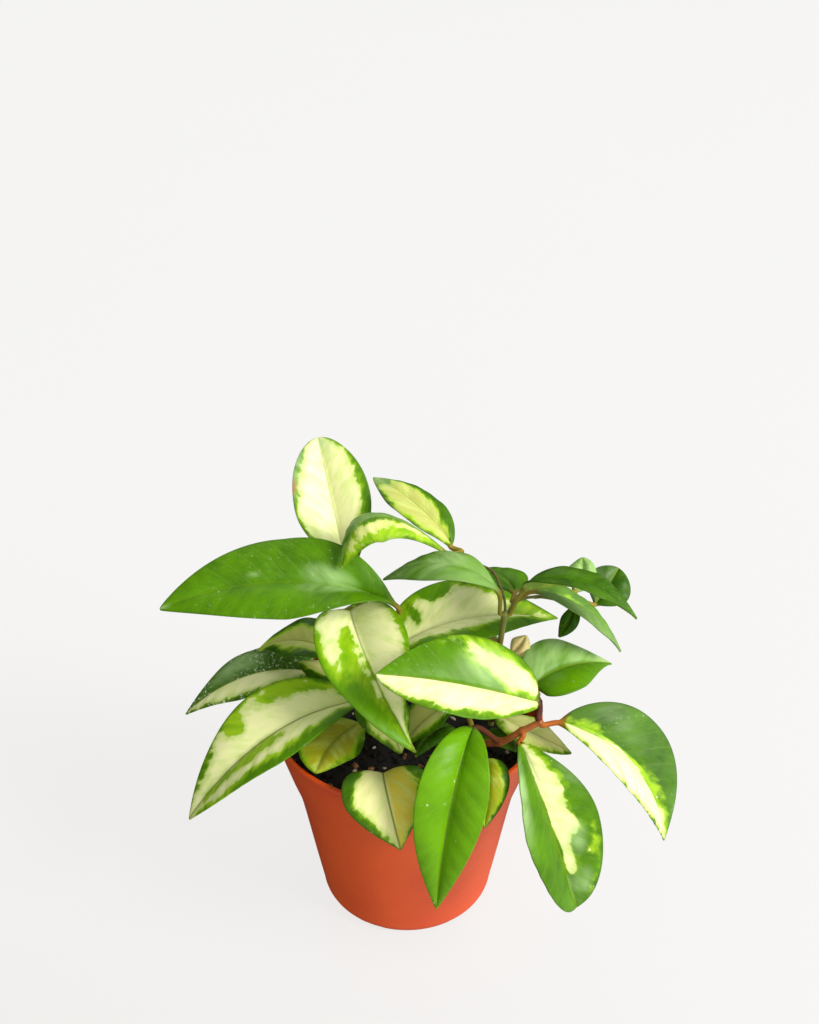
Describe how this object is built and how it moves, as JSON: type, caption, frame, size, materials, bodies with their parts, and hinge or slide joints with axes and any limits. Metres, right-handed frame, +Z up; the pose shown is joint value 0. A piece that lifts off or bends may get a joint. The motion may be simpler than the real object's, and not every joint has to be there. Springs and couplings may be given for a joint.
{
  "type": "potted variegated hoya plant",
  "caption": "Small climbing houseplant with thick cream-and-green leaves in a tapered terracotta-coloured nursery pot.",
  "frame": {"origin": "middle of the pot's flat underside", "axes": "+Z up, -Y the front of the plant, +X the right of the plant seen from the front"},
  "size_m": [0.1776, 0.1365, 0.1714],
  "materials": {
    "pot_plastic": "satin moulded plastic",
    "soil": "loose peat mix with perlite and bark",
    "green_vine": "smooth olive-brown stem",
    "red_vine": "smooth red-brown stem",
    "green_leaf": "waxy leaf, mostly green",
    "cream_leaf": "waxy leaf, mostly cream",
    "olive_leaf": "waxy leaf, mostly olive yellow"
  },
  "bodies": {
    "root": {"pot": "pot_plastic", "soil": "soil", "vine_crown": "green_vine", "vine_fork": "green_vine", "vine_red": "red_vine", "vine_left": "green_vine", "vine_low": "green_vine", "vine_back": "green_vine", "leaf_top_upright": "cream_leaf", "leaf_top_right": "cream_leaf", "leaf_top_arched": "green_leaf", "leaf_left_long": "green_leaf", "leaf_front_hanging": "cream_leaf", "leaf_centre": "cream_leaf", "leaf_behind_centre": "cream_leaf", "leaf_fork_left": "green_leaf", "leaf_fork_right": "green_leaf", "leaf_right_under": "green_leaf", "leaf_fork_behind": "green_leaf", "leaf_right_young": "green_leaf", "leaf_right_round": "green_leaf", "leaf_right_bud": "green_leaf", "leaf_right_middle": "green_leaf", "leaf_faded": "olive_leaf", "leaf_right_drooping": "cream_leaf", "leaf_right_hanging": "green_leaf", "leaf_front_green": "green_leaf", "leaf_front_heart": "cream_leaf", "leaf_soil_left": "olive_leaf", "leaf_left_low": "cream_leaf", "leaf_left_dark": "green_leaf", "leaf_left_upper": "green_leaf", "leaf_left_narrow": "cream_leaf", "leaf_under_hanging": "cream_leaf", "leaf_middle_olive": "olive_leaf", "leaf_middle_dark": "green_leaf", "leaf_right_tucked": "green_leaf", "leaf_rim_olive": "olive_leaf", "leaf_rim_right": "olive_leaf", "leaf_back_left": "cream_leaf", "leaf_back_middle": "cream_leaf", "leaf_back_right": "green_leaf", "leaf_back_low": "green_leaf", "leaf_back_side": "cream_leaf"}
  },
  "joints": []
}
